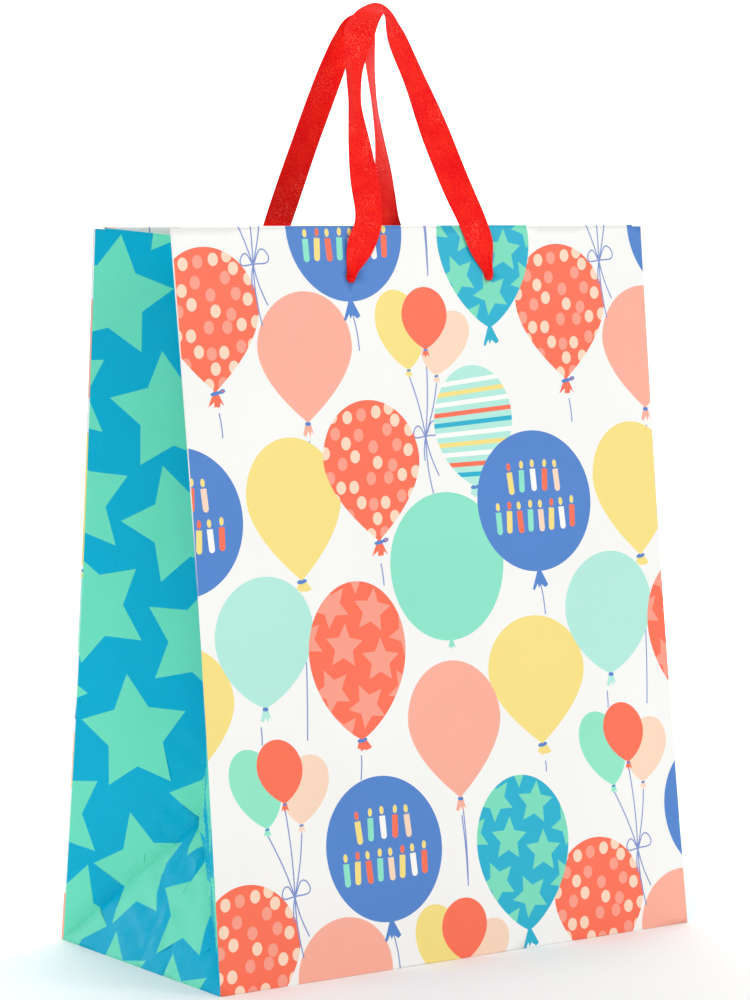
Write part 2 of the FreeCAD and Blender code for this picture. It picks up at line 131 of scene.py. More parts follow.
def route_points(route, wall):
    """A route's points in metres: from the hole's middle up the wall's slope and inwards."""
    across, up, inward, _ = np.array(route, dtype=float).T
    hole = PANEL - HOLE_DROP
    start_y = HALF_DEPTH - hole * math.sin(LEAN) + RIBBON_OUT * math.cos(LEAN)
    start_z = FOOT + hole * math.cos(LEAN) + RIBBON_OUT * math.sin(LEAN)
    y = wall * (start_y - up * math.sin(LEAN) - inward)
    return np.stack([across, y, start_z + up * math.cos(LEAN)], axis=1) * MM


def smooth_line(name, points):
    """The NURBS line that a route's points steer, as places in metres close together along it."""
    curve = bpy.data.curves.new(name, "CURVE")
    curve.dimensions = "3D"
    curve.resolution_u = 14
    spline = curve.splines.new("NURBS")
    spline.points.add(len(points) - 1)
    for point, place in zip(spline.points, points):
        point.co = (*place, 1.0)
    spline.order_u = 3
    spline.use_endpoint_u = True
    holder = bpy.data.objects.new(name, curve)
    line = bpy.data.meshes.new_from_object(holder)
    places = np.array([v.co for v in line.vertices])
    bpy.data.objects.remove(holder)
    bpy.data.curves.remove(curve)
    bpy.data.meshes.remove(line)
    return places


# ---------------------------------------------------------------- colours and materials


def linear(code):
    """An sRGB hex colour as linear red, green, blue and alpha."""
    parts = [int(code[i:i + 2], 16) / 255.0 for i in (0, 2, 4)]
    return [c / 12.92 if c <= 0.04045 else ((c + 0.055) / 1.055) ** 2.4 for c in parts] + [1.0]


INKS = {
    "paper": "F6F6F3",
    "coral": "FC6F50",
    "salmon": "FAAF9A",
    "yellow": "F7E083",
    "mint": "8AE4C8",
    "light_mint": "B2EADC",
    "green": "8FE7C6",
    "blue": "4C82CC",
    "thread": "7A8FCB",
    "teal": "0FB0CF",
    "star_mint": "78DDBD",
    "peach": "FAD8BE",
    "dot_salmon": "F99D88",
    "white": "FBFAF6",
    "field": "00ABCF",
    "field_star": "6EDDBE",
}


# A Mix node's colour sockets, which share their names with its number sockets.
MIX_A = 6
MIX_B = 7
MIX_RESULT = 2


def add_node(tree, kind, settings=None, inputs=None, links=None):
    """Adds a node, sets its properties and socket values, and links (socket, other node, its output)."""
    node = tree.nodes.new(kind)
    for name, value in (settings or {}).items():
        setattr(node, name, value)
    for name, value in (inputs or {}).items():
        node.inputs[name].default_value = value
    for name, other, output in links or []:
        tree.links.new(other.outputs[output], node.inputs[name])
    return node


def new_material(name):
    """An empty material and its node tree, with a surface shader and an output joined."""
    material = bpy.data.materials.new(name)
    material.use_nodes = True
    tree = material.node_tree
    tree.nodes.clear()
    shader = add_node(tree, "ShaderNodeBsdfPrincipled")
    add_node(tree, "ShaderNodeOutputMaterial", links=[("Surface", shader, "BSDF")])
    return material, tree, shader


def millimetres(size):
    """A noise scale for Object coordinates in metres that gives features about size millimetres across."""
    return 1.0 / (size * MM)


def ramp(tree, source, output, start=0.0, end=1.0, low=0.0, high=1.0):
    """Carries the part of a pattern between start and end into the range low to high."""
    return add_node(tree, "ShaderNodeMapRange", {},
                    {"From Min": start, "From Max": end, "To Min": low, "To Max": high},
                    [("Value", source, output)])


def cloudy(tree, place, size, detail=2.0):
    """A noise pattern with features about size millimetres across."""
    return add_node(tree, "ShaderNodeTexNoise", {}, {"Scale": millimetres(size), "Detail": detail},
                    [("Vector", place, "Object")])


def mixed_colour(tree, dark, light, source, output):
    """Two hex colours mixed by a 0 to 1 pattern."""
    return add_node(tree, "ShaderNodeMix", {"data_type": "RGBA"}, {MIX_A: linear(dark), MIX_B: linear(light)},
                    [("Factor", source, output)])


def scaled_colour(tree, colour, output, shade):
    """A colour made lighter or darker by a pattern."""
    return add_node(tree, "ShaderNodeVectorMath", {"operation": "SCALE"}, {},
                    [("Vector", colour, output), ("Scale", shade, "Result")])


def raised(tree, pattern, strength, height, under=None):
    """A bump from a noise pattern, in millimetres, over another bump if there is one."""
    links = [("Height", pattern, "Fac")]
    if under is not None:
        links.append(("Normal", under, "Normal"))
    return add_node(tree, "ShaderNodeBump", {}, {"Strength": strength, "Distance": height * MM}, links)


def set_surface(tree, shader, colour, output, bump, values):
    """Joins a colour and a bump to a surface shader and sets its other values."""
    tree.links.new(colour.outputs[output], shader.inputs["Base Color"])
    if bump is not None:
        tree.links.new(bump.outputs["Normal"], shader.inputs["Normal"])
    for name, value in values.items():
        shader.inputs[name].default_value = value


def laminated_paper(name, film_roughness, ripple, shine):
    """Art paper, offset printed and covered with a thin clear film: the ink is almost even, the film gives a
    soft gloss, and slow ripples about 42 mm long break that gloss up."""
    material, tree, shader = new_material(name)
    place = add_node(tree, "ShaderNodeTexCoord")
    ink = add_node(tree, "ShaderNodeAttribute", {"attribute_name": "ink"})
    grain = cloudy(tree, place, 1.1, 3.0)
    shade = ramp(tree, cloudy(tree, place, 60.0), "Fac", low=0.955, high=1.03)
    rough = ramp(tree, grain, "Fac", low=film_roughness - 0.05, high=film_roughness + 0.09)
    tree.links.new(rough.outputs["Result"], shader.inputs["Roughness"])
    slow = raised(tree, cloudy(tree, place, 42.0, 2.5), 1.0, ripple)
    set_surface(tree, shader, scaled_colour(tree, ink, "Color", shade), "Vector",
                raised(tree, grain, 0.04, 0.05, slow), {"IOR": 1.49, "Specular IOR Level": shine})
    return material


def uncoated_paper():
    """The unprinted side of the sheet: bleached wood pulp, matt, with faint fibres about 0.8 mm long."""
    material, tree, shader = new_material("uncoated_white_paper")
    fibre = cloudy(tree, add_node(tree, "ShaderNodeTexCoord"), 0.8, 4.0)
    colour = mixed_colour(tree, "E9E7E1", "F8F7F4", fibre, "Fac")
    set_surface(tree, shader, colour, MIX_RESULT, raised(tree, fibre, 0.25, 0.08),
                {"Roughness": 0.85, "IOR": 1.5})
    return material


def pressed_board(name, dark, light, speck):
    """Pressed pulp board: recycled grey board or white-lined card, matt, with darker specks of pulp."""
    material, tree, shader = new_material(name)
    place = add_node(tree, "ShaderNodeTexCoord")
    pulp = cloudy(tree, place, 1.6, 5.0)
    flecks = add_node(tree, "ShaderNodeTexVoronoi", {}, {"Scale": millimetres(3.2)},
                      [("Vector", place, "Object")])
    spots = ramp(tree, flecks, "Distance", 0.04, 0.16, speck)
    colour = scaled_colour(tree, mixed_colour(tree, dark, light, pulp, "Fac"), MIX_RESULT, spots)
    set_surface(tree, shader, colour, "Vector", raised(tree, pulp, 0.35, 0.15), {"Roughness": 0.9})
    return material


def velvet_ribbon():
    """Single-faced nylon velvet ribbon: a short dense nap whose colour is mixed by noise between a deep red
    and a brighter red, which is uneven tone and also painted sheen, with pale specks in patches that are
    painted sparkle of light glinting off the tufts. Its tufts are drawn 0.7 mm across, so that they show."""
    material, tree, shader = new_material("nylon_velvet_ribbon")
    place = add_node(tree, "ShaderNodeTexCoord")
    tufts = cloudy(tree, place, 0.7, 3.0)
    mixed = add_node(tree, "ShaderNodeMath", {"operation": "MULTIPLY_ADD"}, {1: 0.55},
                     [(0, cloudy(tree, place, 9.0), "Fac"), (2, tufts, "Fac")])
    # Two reds mixed by noise: uneven tone, and the brighter red is painted sheen.
    pile_tone_and_sheen = mixed_colour(tree, "EE0012", "FF2A14", ramp(tree, mixed, "Value", 0.6, 0.98), "Result")
    # Pale specks in patches: painted sparkle of light glinting off the tufts, not a colour of the ribbon.
    sparkle_patch = ramp(tree, cloudy(tree, place, 14.0, 1.0), "Fac", 0.5, 0.68, high=0.6)
    specks = ramp(tree, tufts, "Fac", 0.52, 0.66)
    painted_sparkle = add_node(tree, "ShaderNodeMath", {"operation": "MULTIPLY"}, {},
                       [(0, sparkle_patch, "Result"), (1, specks, "Result")])
    colour = add_node(tree, "ShaderNodeMix", {"data_type": "RGBA"}, {MIX_B: linear("FF6E5C")},
                      [("Factor", painted_sparkle, "Value"), (MIX_A, pile_tone_and_sheen, MIX_RESULT)])
    set_surface(tree, shader, colour, MIX_RESULT, raised(tree, tufts, 0.6, 0.35), {
        "Roughness": 0.62, "Specular IOR Level": 0.12, "Sheen Weight": 0.06, "Sheen Roughness": 0.4,
        "Sheen Tint": linear("FF6A50"),
    })
    return material


PRINT = laminated_paper("satin_film_art_paper", 0.42, 1.4, 0.42)
STAR_PRINT = laminated_paper("gloss_film_art_paper", 0.24, 2.2, 0.1)
INSIDE = uncoated_paper()
BOARD = pressed_board("recycled_grey_board", "8E8A82", "ABA69C", 0.72)
CARD = pressed_board("white_lined_card", "DCD9D1", "ECEAE4", 0.93)
VELVET = velvet_ribbon()

# ---------------------------------------------------------------- how the sheet is folded

FOLD_BOW = 1.7
FOLD_SOFTNESS = 0.9
FOLD_ROUNDING = 0.25
GUSSET_STEP = 1.0
PANEL_WAVE = 0.8
GUSSET_BOW = 2.2
GROOVE_REACH = 2.6


def crease_path():
    """The gusset's inward crease, from where the corner folds meet up to the rim, as levels up the sheet and
    the crease's distance in and height. Each half keeps its width and the crease keeps its length, so from
    one level to the next the crease turns to whatever slope holds it at that width from the side fold."""
    half = HALF_DEPTH
    up = half
    fold_y = half - up * math.sin(LEAN)
    fold_z = up * math.cos(LEAN)
    height = (fold_z ** 2 + fold_y ** 2) / (2 * fold_z)
    inward = math.sqrt(up ** 2 - height ** 2)
    path = [(up, inward, height)]
    while up < PANEL:
        fold_y = half - up * math.sin(LEAN)
        below = height - up * math.cos(LEAN)
        push = (fold_y * math.sin(LEAN) + below * math.cos(LEAN)) / math.hypot(inward, below)
        slope = math.asin(push) - math.atan2(below, inward)
        inward += GUSSET_STEP * math.sin(slope)
        height += GUSSET_STEP * math.cos(slope)
        up += GUSSET_STEP
        path.append((up, inward, height))
    return np.array(path).T


CREASE = crease_path()


def unit(vectors):
    """Vectors brought to length one."""
    return vectors / np.linalg.norm(vectors, axis=-1, keepdims=True)


def side_fold(wall, side, up):
    """A side fold's places: straight up the leaning wall, bowed a little towards the bag's middle."""
    bow = FOLD_BOW * np.sin(np.pi * np.clip(up / PANEL, 0, 1))
    x = side * (HALF_WIDTH - bow)
    y = wall * (HALF_DEPTH - up * math.sin(LEAN))
    return np.stack([x, y, FOOT + up * math.cos(LEAN)], axis=-1)


def crease(side, up):
    """The inward crease's places, and below the meeting of the corner folds that meeting itself."""
    inward = np.interp(up, CREASE[0], CREASE[1])
    height = np.interp(up, CREASE[0], CREASE[2])
    bow = FOLD_BOW * np.sin(np.pi * np.clip(up / PANEL, 0, 1))
    return np.stack([side * (HALF_WIDTH - bow - inward), 0 * inward, FOOT + height], axis=-1)


def fold_pull(wall, side, up, gap):
    """Rounds a side fold: both sheets are drawn the same way, halfway between them, next to the fold."""
    level = np.maximum(up, HALF_DEPTH)
    along_gusset = unit(crease(side, level) - side_fold(wall, side, level))
    along_panel = np.stack([-side + 0 * up, 0 * up, 0 * up], axis=-1)
    pull = FOLD_ROUNDING * np.clip(1 - gap / FOLD_SOFTNESS, 0, 1) ** 2
    return unit(along_gusset + along_panel) * pull[:, None]


def slow_waves(a, b, seed):
    """A gentle uneven surface from -1 to 1: a sum of a few slanted sine waves 70 to 190 mm long."""
    total = np.zeros_like(a)
    for turn, length, share in ((0.4, 190.0, 0.45), (1.9, 120.0, 0.3), (2.7, 70.0, 0.25)):
        phase = (a * math.cos(turn + seed) + b * math.sin(turn + seed)) / length
        total += share * np.sin(2 * np.pi * phase + 5.0 * seed + turn)
    return total


def panel_place(wall):
    """The front (-1) or back (1) wall's outer face: a leaning plane whose sides follow the bowed folds, with
    slow waves that die out at its edges."""
    out = np.array([0.0, wall * math.cos(LEAN), math.sin(LEAN)])

    def place(x, up):
        side = np.where(x < 0, -1.0, 1.0)
        across = np.clip(np.abs(x) / HALF_WIDTH, 0, 1)
        fold = side_fold(wall, side, up)
        points = fold.copy()
        points[:, 0] = x - (side * HALF_WIDTH - fold[:, 0]) * across ** 4
        calm = (1 - across ** 6) * np.sin(np.pi * np.clip(up / (PANEL - HEM), 0, 1))
        points += out * (PANEL_WAVE * calm * slow_waves(x, up, wall))[:, None]
        return points + fold_pull(wall, side, up, HALF_WIDTH - np.abs(x))

    return place


def gusset_base(side):
    """A folded gusset before its dents. Across runs from the back fold over the crease to the front fold.
    Above the corner folds each half is ruled straight from side fold to crease; below them it is two flat
    triangles: one beside the fold, and one that lies out over the bottom edge."""
    half = HALF_DEPTH

    def place(across, up):
        wall = np.where(across <= half, 1.0, -1.0)
        into = np.where(across <= half, across, 2 * half - across)
        fold = side_fold(wall, side, up)
        upper = fold + (crease(side, up) - fold) * (into / half)[:, None]
        corner = side_fold(wall, side, 0 * up)
        level = side_fold(wall, side, 0 * up + half)
        meeting = crease(side, 0 * up + half)
        middle = corner * [1, 0, 1]
        beside = corner + (level - corner) * (up / half)[:, None] + (meeting - level) * (into / half)[:, None]
        foot = corner + (middle - corner) * (into / half)[:, None] + (meeting - middle) * (up / half)[:, None]
        bowed = fold[:, 0] - corner[:, 0] - (level - corner)[:, 0] * up / half
        beside[:, 0] += bowed * np.clip(1 - into / half, 0, 1)
        lower = np.where((up > into)[:, None], beside, foot)
        return np.where((up >= half)[:, None], upper, lower)

    return place


def line_distance(a, b, start, end):
    """Distance from points (a, b) to the straight line between two points."""
    run = np.array(end) - np.array(start)
    share = np.clip(((a - start[0]) * run[0] + (b - start[1]) * run[1]) / (run @ run), 0, 1)
    return np.hypot(a - start[0] - share * run[0], b - start[1] - share * run[1])


def gusset_place(side):
    """The gusset's outer face: the folded base, each half bowed out, the pressed lines of the flat-packed bag
    as fine grooves, and the paper crumpled where all the folds meet."""
    half = HALF_DEPTH
    base = gusset_base(side)
    step = 0.6

    def place(across, up):
        points = base(across, up)
        inside = np.clip(across, step, 2 * half - step)
        level = np.clip(up, step, PANEL)
        ahead = base(inside + step, level) - base(inside - step, level)
        above = base(inside, level + step) - base(inside, level - step)
        out = unit(np.cross(ahead, above)) * -side
        into = np.where(across <= half, across, 2 * half - across)
        share = into / half
        rise = np.clip((up - half) / (PANEL - half), 0, 1)
        edge = np.clip(into / 7.0, 0, 1)
        bow = GUSSET_BOW * np.sin(np.pi * share) * np.sin(np.pi * rise) ** 0.8
        bow += 0.7 * np.sin(np.pi * share) * slow_waves(across, up, 2.0 + side) * rise
        foot = np.clip(up / 12.0, 0, 1) * edge
        bow += 0.45 * foot * slow_waves(2.4 * across, 2.4 * up, 0.7) * np.clip(1.6 - up / 75.0, 0, 1)
        for start, end, depth in (
            ((0.0, 0.0), (half, half), 1.4), ((2 * half, 0.0), (half, half), 1.4),
            ((half, 0.0), (half, half), 0.45), ((0.0, 0.97 * half), (half, half + 1.0), 0.55),
            ((2 * half, 0.97 * half), (half, half + 1.0), 0.55),
        ):
            groove = np.clip(1 - line_distance(across, up, start, end) / GROOVE_REACH, 0, 1)
            bow -= depth * groove * edge * np.clip(up / 5.0, 0, 1)
        near = np.exp(-((across - half) ** 2 + (up - half) ** 2) / 15.0 ** 2)
        around = np.arctan2(up - half, across - half)
        bow += 1.0 * near * np.sin(5 * around + 0.12 * across) * np.clip(1 - near, 0, 1)
        crush = np.exp(-((into - 60.0) / 14.0) ** 2) * np.clip(1.5 - np.abs(up - 45.0) / 60.0, 0, 1)
        bow += 0.8 * crush * np.sin(0.42 * up + 0.21 * across) * foot
        points += out * bow[:, None]
        wall = np.where(across <= half, 1.0, -1.0)
        return points + fold_pull(wall, side, up, into)

    return place


def sheet_normal(place, a, up, flip):
    """The sheet's outward direction, from how far it moves for a small step each way."""
    step = 0.5
    ahead = place(a + step, up) - place(a - step, up)
    above = place(a, up + step) - place(a, up - step)
    return unit(np.cross(ahead, above)) * flip


def turned_in(place, flip, reach):
    """A hem: from the rim the sheet goes over in a half circle as wide as the rim is thick, and then down
    inside, alongside the wall that it came from. Past is the length of sheet beyond the rim."""

    def hem(a, up):
        past = up - PANEL
        bend = np.clip(past / (reach / 2), 0, np.pi)
        down = np.maximum(past - np.pi * reach / 2, 0)
        level = PANEL - down
        out = sheet_normal(place, a, np.minimum(level, PANEL - 1), flip)
        rim_way = unit(place(a, 0 * a + PANEL) - place(a, 0 * a + PANEL - 2))
        base = place(a, level)
        inward = (reach / 2 * (1 - np.cos(bend)))[:, None]
        over = (reach / 2 * np.sin(bend))[:, None]
        return base - out * inward + rim_way * over

    return hem


# ---------------------------------------------------------------- the printed drawing

TILE_ACROSS = 192.0
TILE_UP = 276.0
BALLOON_TURNS = 44
THREAD = 0.65


# How a balloon closes below its widest line: (1 - distance ** fullness) ** bluntness.
POINTED = (1.75, 1.0)
EGG = (1.9, 0.78)
ROUND = (2.0, 0.5)


def balloon(ink, top_x, top, tip_x, tip, width, widest=0.43, close=POINTED):
    """A balloon's outline: half an ellipse above its widest line, and below it sides that close in to the
    neck, pointed, egg-shaped or round."""
    share = (1 - np.cos(np.linspace(0, np.pi, BALLOON_TURNS))) / 2
    over = np.sqrt(np.clip(1 - ((widest - share) / widest) ** 2, 0, 1))
    under = np.clip(1 - np.clip((share - widest) / (1 - widest), 0, 1) ** close[0], 0, 1) ** close[1]
    half = width / 2 * np.where(share < widest, over, under)
    middle = top_x + (tip_x - top_x) * share
    up = top + (tip - top) * share
    right = np.stack([middle + half, up], axis=1)
    left = np.stack([middle - half, up], axis=1)
    return ink, np.concatenate([right, left[-2:0:-1]])


def disc(ink, x, up, radius_x, radius_up, turn=0.0, points=18):
    """An ellipse, turned by so many degrees."""
    angle = np.linspace(0, 2 * np.pi, points, endpoint=False)
    a = radius_x * np.cos(angle)
    b = radius_up * np.sin(angle)
    c = math.cos(math.radians(turn))
    d = math.sin(math.radians(turn))
    return ink, np.stack([x + c * a - d * b, up + d * a + c * b], axis=1)


def star(ink, x, up, radius, turn, inner=0.53):
    """A five-pointed star with its first tip at so many degrees from the right."""
    angle = np.radians(turn) + np.arange(10) * np.pi / 5
    reach = np.where(np.arange(10) % 2 == 0, radius, radius * inner)
    return ink, np.stack([x + reach * np.cos(angle), up + reach * np.sin(angle)], axis=1)


def shape(ink, *points):
    """A straight-sided shape from its corners."""
    return ink, np.array(points, dtype=float)


def stroke(ink, points, width):
    """A line of even width through a few points, with square ends."""
    points = np.array(points, dtype=float)
    along = unit(np.gradient(points, axis=0))
    beside = np.stack([-along[:, 1], along[:, 0]], axis=1) * width / 2
    return ink, np.concatenate([points + beside, (points - beside)[::-1]])


def thread(start, end, sway=1.0, steps=9):
    """A balloon's string: from one point to another with one slow bend to the side."""
    share = np.linspace(0, 1, steps)
    run = np.subtract(end, start)
    bend = sway * np.sin(np.pi * share)
    x = start[0] + run[0] * share + bend
    up = start[1] + run[1] * share
    return stroke("thread", np.stack([x, up], axis=1), THREAD)


def loop(x, up, reach, width, turn):
    """One loop of a thin bow: a drop-shaped ring from the knot outwards, drawn as a closed line."""
    angle = np.linspace(0, 2 * np.pi, 22)
    a = reach * (1 - np.cos(angle)) / 2
    b = width / 2 * np.sin(angle) * (1 - np.cos(angle)) / 1.3
    c = math.cos(math.radians(turn))
    d = math.sin(math.radians(turn))
    return stroke("thread", np.stack([x + c * a - d * b, up + d * a + c * b], axis=1), THREAD)


TAILS = {
    "spiky": ((-0.7, 1), (0.7, 1), (4.2, -6.4), (2.1, -4.6), (1.8, -6.6), (-1.3, -6.6), (-1.0, -4.4),
              (-4.4, -6.6)),
    "fan": ((-1.4, 0.6), (1.4, 0.6), (5.0, -4.0), (2.2, -5.0), (0.4, -4.6), (-0.8, -5.4), (-1.4, -4.2),
            (-3.0, -3.8)),
    "strands": ((-0.9, 1), (0.9, 1), (2.9, -5.6), (1.5, -3.8), (0.9, -6.4), (-0.2, -3.8), (-1.4, -6.2),
                (-2.9, -5.2)),
    "flare": ((-0.8, 1), (0.8, 1), (4.8, -6.4), (3.0, -7.6), (0.6, -5.8), (-0.6, -7.8), (-1.2, -5.6),
              (-3.2, -8.6), (-4.2, -8.0)),
    "small": ((-0.6, 1), (0.6, 1), (2.0, -3.6), (0.6, -2.6), (-0.3, -4.0), (-1.0, -2.5), (-2.1, -3.4)),
}
# Each tie's half length and half height, how far below the neck it is, and its slant in degrees.
TIES = {"spiky": (2.9, 0.9, -0.6, 10), "fan": (2.7, 1.0, -0.4, 8), "strands": (1.6, 0.9, -0.5, -4),
        "small": (1.2, 0.5, -0.5, 8)}


def tied_neck(ink, x, up, kind):
    """What hangs below a balloon's neck: a flared tail in the balloon's colour and, on most, a blue tie."""
    art = [(ink, np.array(TAILS[kind]) + [x, up])]
    if kind in TIES:
        reach, height, drop, slant = TIES[kind]
        art.append(disc("blue", x, up + drop, reach, height, slant, 14))
    if kind == "spiky":
        art.append(disc("blue", x + 3.4, up + 0.2, 1.7, 1.0, 15, 14))
        art.append(disc(ink, x + 3.5, up + 0.2, 0.8, 0.35, 15, 8))
    return art


DOTS = (
    (-19, -7, 0), (-11, -7.5, 0), (-3.5, -6.5, 1), (4.5, -5.5, 0), (11.5, -4, 0), (14.5, -9.5, 0),
    (-18, -14.5, 1), (-5.5, -15.5, 1), (10, -13.5, 1), (22, -14, 0), (-12.5, -19, 0), (2, -21, 1),
    (15, -20.5, 1), (-24, -23, 0), (-8, -25, 0), (21, -23, 0), (-15, -28, 1), (4, -28, 0), (12, -29.5, 1),
    (-22, -34, 1), (0, -35, 1), (9.5, -35, 1), (17, -34, 0), (24.5, -33, 0), (-16.5, -38.5, 0),
    (-9.5, -38.5, 0), (16, -43.5, 1), (-20, -44, 0), (-6, -45.5, 0), (0.5, -46.5, 1), (7, -46, 0),
    (22, -43, 0), (-13, -51, 1), (2, -53, 0), (11.5, -52.5, 0), (-2, -60, 0), (5.5, -59.5, 1),
)
BALLOON_STARS = (
    (-13.5, -10, 46), (8.5, -13.5, 80), (-7.5, -28.5, 84), (11.5, -36, 86), (3, -55.5, 113),
    (-15, -47.5, 113), (-28, -24.5, 41), (27, -25, 114), (24.5, -50, 118), (-11, -67.5, 45), (0.5, 4.5, -92),
)


def keep_inside(art, outline):
    """Marks drawn shapes as showing only inside an outline."""
    return [(ink, points, outline) for ink, points in art]


def dotted_balloon(top_x, top, tip_x, tip):
    """A coral balloon with two kinds of dots, and a spiky tail."""
    body = balloon("coral", top_x, top, tip_x, tip, 52)
    dots = [disc("dot_salmon" if kind else "peach", top_x + a, top + b, 2.6, 2.95, -8) for a, b, kind in DOTS]
    return tied_neck("coral", tip_x, tip, "spiky") + [body] + keep_inside(dots, body[1])


def star_balloon(ink, star_ink, top_x, top, tip_x, tip, kind):
    """A balloon scattered with stars."""
    body = balloon(ink, top_x, top, tip_x, tip, 52, 0.43, EGG)
    stars = [star(star_ink, top_x + a, top + b, 10.3, turn, 0.48) for a, b, turn in BALLOON_STARS]
    return tied_neck(ink, tip_x, tip, kind) + [body] + keep_inside(stars, body[1])


def striped_balloon(top_x, top, tip_x, tip, width):
    """A light mint balloon crossed by slightly tilted bands."""
    body = balloon("light_mint", top_x, top, tip_x, tip, width, 0.46, EGG)
    inks = ("white", "yellow", "white", "coral", "teal", "white", "yellow", "white", "coral", "teal")
    bands = []
    for row, ink in enumerate(inks):
        up = top - 5.8 - row * 4.75
        lift = 4.4 - 0.45 * row
        bands.append(shape(ink, (top_x - width, up - lift), (top_x + width, up + lift),
                           (top_x + width, up + lift - 2.1), (top_x - width, up - lift - 2.1)))
    return tied_neck("light_mint", tip_x, tip, "fan") + [body] + keep_inside(bands, body[1])


# Candles from the balloon's middle: across, up, tilt in degrees, colour.
CANDLES = (
    (-13.2, 10.4, 95, "yellow"), (-6.6, 11.2, 88, "mint"), (0, 11.6, 92, "white"), (6.6, 11.4, 86, "coral"),
    (13.2, 11, 94, "peach"),
    (-21, -7.6, 92, "mint"), (-15, -7.2, 87, "yellow"), (-9, -7.4, 94, "coral"), (-3, -7, 88, "mint"),
    (3, -7.2, 92, "peach"), (9, -6.8, 86, "yellow"), (15, -6.6, 93, "white"), (21, -6, 88, "coral"),
)


def candle_balloon(top_x, top, tip_x, tip, width):
    """A round blue balloon with two rows of small birthday candles, each a rounded bar and its flame."""
    body = balloon("blue", top_x, top, tip_x, tip, width, 0.49, ROUND)
    middle_x = (top_x + tip_x) / 2
    middle = (top + tip) / 2
    art = []
    for a, b, turn, ink in CANDLES:
        c = math.cos(math.radians(turn))
        d = math.sin(math.radians(turn))
        x = middle_x + a
        up = middle + b
        art.append(stroke(ink, [(x - 5.6 * c, up - 5.6 * d), (x + 3.2 * c, up + 3.2 * d)], 3.1))
        art.append(disc(ink, x - 5.6 * c, up - 5.6 * d, 1.55, 1.55, 0, 12))
        flame = "yellow" if ink != "yellow" else "coral"
        art.append(disc(flame, x + 5.7 * c, up + 5.7 * d, 1.9, 1.15, turn, 12))
    return tied_neck("blue", tip_x, tip, "flare") + [body] + art


def small_trio(x, up, colours, places):
    """Three small balloons whose strings meet in a thin bow with three loose ends."""
    art = []
    for ink, (top_x, top, tip_x, tip, width) in zip(colours, places):
        art.append(thread((tip_x, tip - 3), (x, up), 0.8))
    for ink, (top_x, top, tip_x, tip, width) in zip(colours, places):
        art += tied_neck(ink, tip_x, tip, "small")
        art.append(balloon(ink, top_x, top, tip_x, tip, width, 0.45, EGG))
    art += [loop(x, up, 9.0, 6.6, 34), loop(x, up, 6.8, 5.6, 154)]
    art += [thread((x, up), (x - 1, up - 11), -0.6), thread((x, up), (x + 6.3, up - 18), -0.8)]
    return art + [thread((x, up), (x + 2.7, up - 27), -0.9), disc("thread", x, up, 0.8, 0.8, 0, 10)]


def drawing():
    """One repeat of the party drawing, from the bottom layer to the top one. Most balloons' places and widths
    are rounded from a projection made outside this file."""
    art = small_trio(-89, 38, ("green", "peach", "coral"), (
        (-110, 104, -101, 69, 26), (-77, 99, -83, 69, 25), (-94, 107, -91, 79, 24)))
    art += small_trio(-3, 235.5, ("yellow", "peach", "coral"), (
        (-16, 302, -10, 266, 26), (16, 292, 5, 263, 26), (1, 303, 0, 275, 25)))
    art += [thread((80, 250), (81, 239), 0.3)] + dotted_balloon(78, 322, 79, 259)
    art += [thread((-66, 236), (-63, 190), 1.5), balloon("salmon", -64, 302, -66, 244, 50)]
    art += tied_neck("salmon", -66, 244, "strands")
    art += [thread((-75, 168), (-77, 105), 1.0), thread((-101, 113), (-101, 105), 0.2)]
    art += tied_neck("yellow", -75, 175, "fan") + [balloon("yellow", -77, 238, -75, 175, 50)]
    art += [balloon("light_mint", -95, 178, -98, 121, 52, 0.45, EGG)]
    art += tied_neck("light_mint", -98, 121, "strands")
    art += [thread((-32, 180), (-31, 170), 0.2)] + dotted_balloon(-34, 253, -32, 190)
    art += tied_neck("mint", 4, 143, "small")[:1] + [balloon("mint", 5, 210, 4, 143, 63, 0.48, ROUND)]
    art += [thread((52, 84), (52, 79), 0.2)] + tied_neck("yellow", 51, 92, "fan")
    art += [balloon("yellow", 50, 151, 51, 92, 55)]
    art += [thread((4, 67), (4, 32), 0.5), thread((3, 64), (4, 35), 0.4)]
    art += tied_neck("salmon", 3, 72, "strands") + [balloon("salmon", 2, 134, 3, 72, 51)]
    art += [thread((-49, 96), (-50, 85), 0.3)]
    art += star_balloon("coral", "dot_salmon", -47, 173, -48, 103, "fan")
    art += striped_balloon(25, 267, 23, 212, 44)
    art += [thread((56, 167), (58, 151), 0.5)] + candle_balloon(56, 236, 56, 171, 65)
    art += [thread((-38.5, 16), (-36, -1), 0.6)] + candle_balloon(-41, 86, -39, 21, 62)
    return art + star_balloon("teal", "star_mint", 35.8, 79, 36.8, 8, "flare")


def repeated(art, low, high, shift=(0.0, 0.0)):
    """The drawing's repeats that reach a stretch of sheet between two corners, moved by a shift."""
    found = []
    for row in (-1, 0, 1):
        for column in (-1, 0, 1):
            move = np.array([column * TILE_ACROSS + shift[0], row * TILE_UP + shift[1]])
            for entry in art:
                points = entry[1] + move
                if (points.max(0) > low).all() and (points.min(0) < high).all():
                    limit = None if len(entry) == 2 else entry[2] + move
                    found.append((entry[0], points, limit))
    return found


GUSSET_STAR = 27.8
# Each star's middle, and its turn in degrees. Twelve rows, for the left gusset's middle and foot, are rounded
# from a least-squares fit made outside this file, and one more was moved from it by hand.
GUSSET_STARS = (
    (10, 301, 12), (38, 251, 28), (-15, 255, 37), (-4, 207, 29), (7, 159, 45), (46, 201, 39), (59, 150, 10),
    (32, 103, 31), (-21, 118, 0), (-7, 61, 38), (43.5, 41, 39), (81, 80, 37), (93, 33, 28), (5, 11.5, 2),
    (53, -14, 40), (105, -14, 45), (86, 298, 50), (134, 275, 15), (94, 240, 30), (146, 243, 5),
    (104, 190, 55), (152, 190, 30), (112, 136, 18), (158, 132, 50), (133, 86, 40),
    (145, 38, 12), (152, -12, 30), (42, 346, 20), (98, 334, 40), (-12, 352, 60), (150, 330, 10),
)
BACK_BLEED = 1.3
FRONT_BLEED = 0.0


